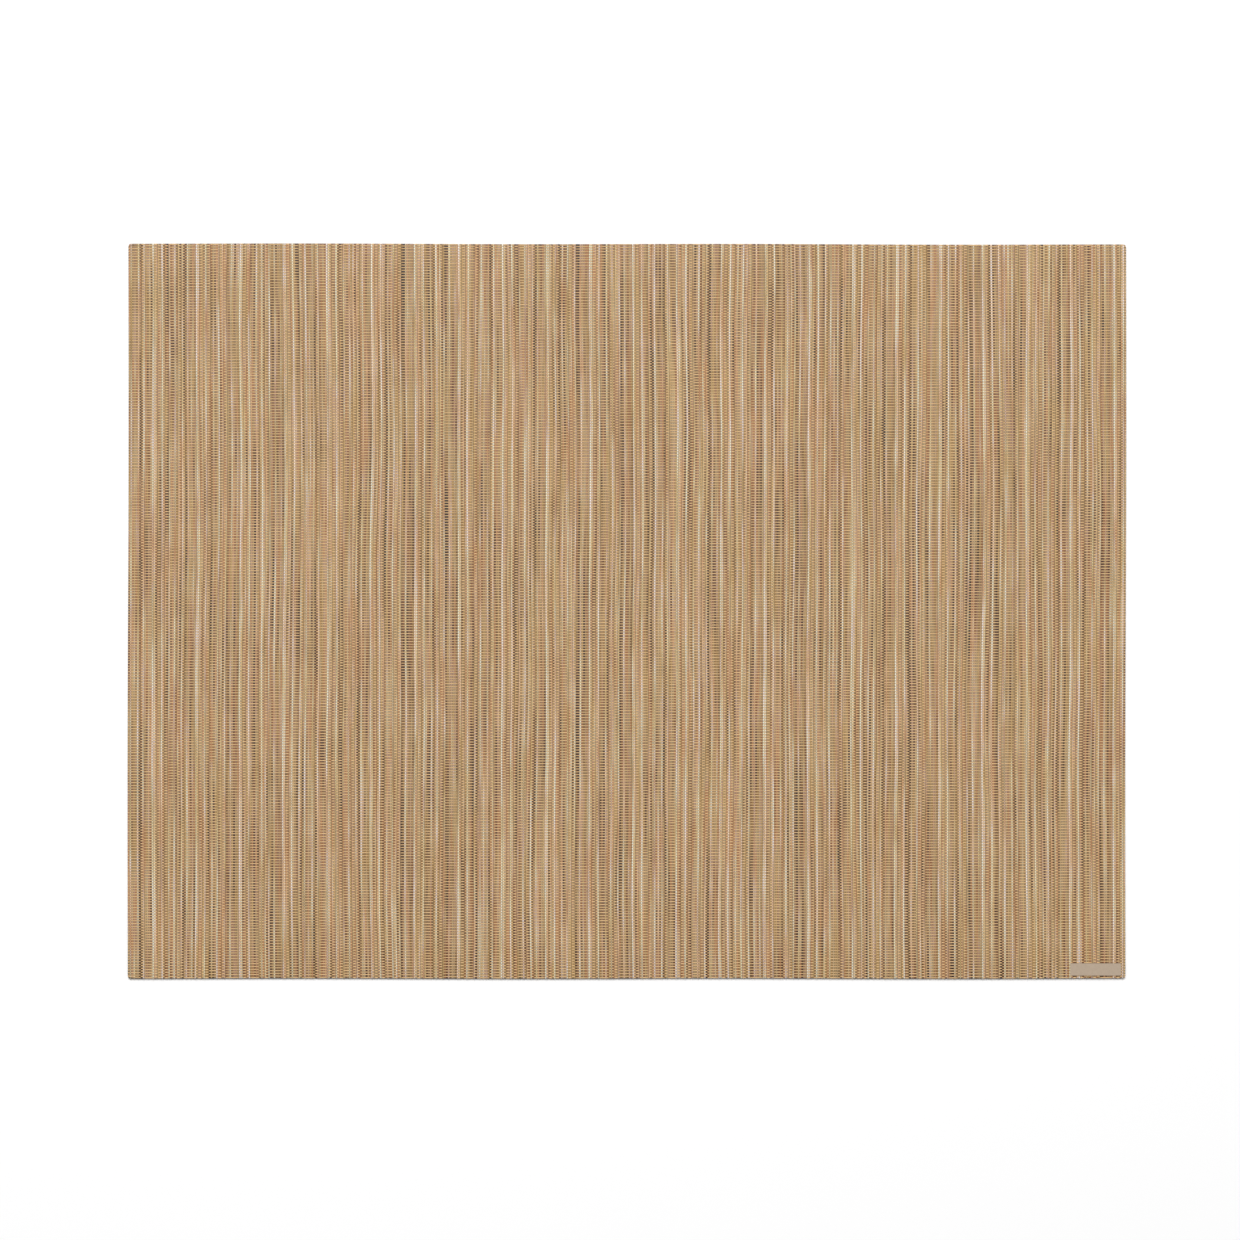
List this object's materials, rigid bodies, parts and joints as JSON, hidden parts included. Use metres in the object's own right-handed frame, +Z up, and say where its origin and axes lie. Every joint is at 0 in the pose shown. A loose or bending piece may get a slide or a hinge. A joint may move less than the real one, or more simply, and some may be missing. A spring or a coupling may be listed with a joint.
{
  "type": "placemat",
  "caption": "Flat rectangular placemat of ribbed coated-yarn cloth with plain cut edges and a small bare label at one corner.",
  "frame": {"origin": "middle of the flat underside, on the surface that the mat lies on", "axes": "+X along the long side, +Y along the short side and the ribs, away from the edge with the label, +Z up out of the patterned face"},
  "size_m": [0.483, 0.3558, 0.0022],
  "materials": {
    "cloth": "coated yarn, matt to satin, cream, tan and brown stripes",
    "label": "matt, bare, greyish beige"
  },
  "bodies": {
    "root": {"mat": "cloth", "label": "label"}
  },
  "joints": []
}
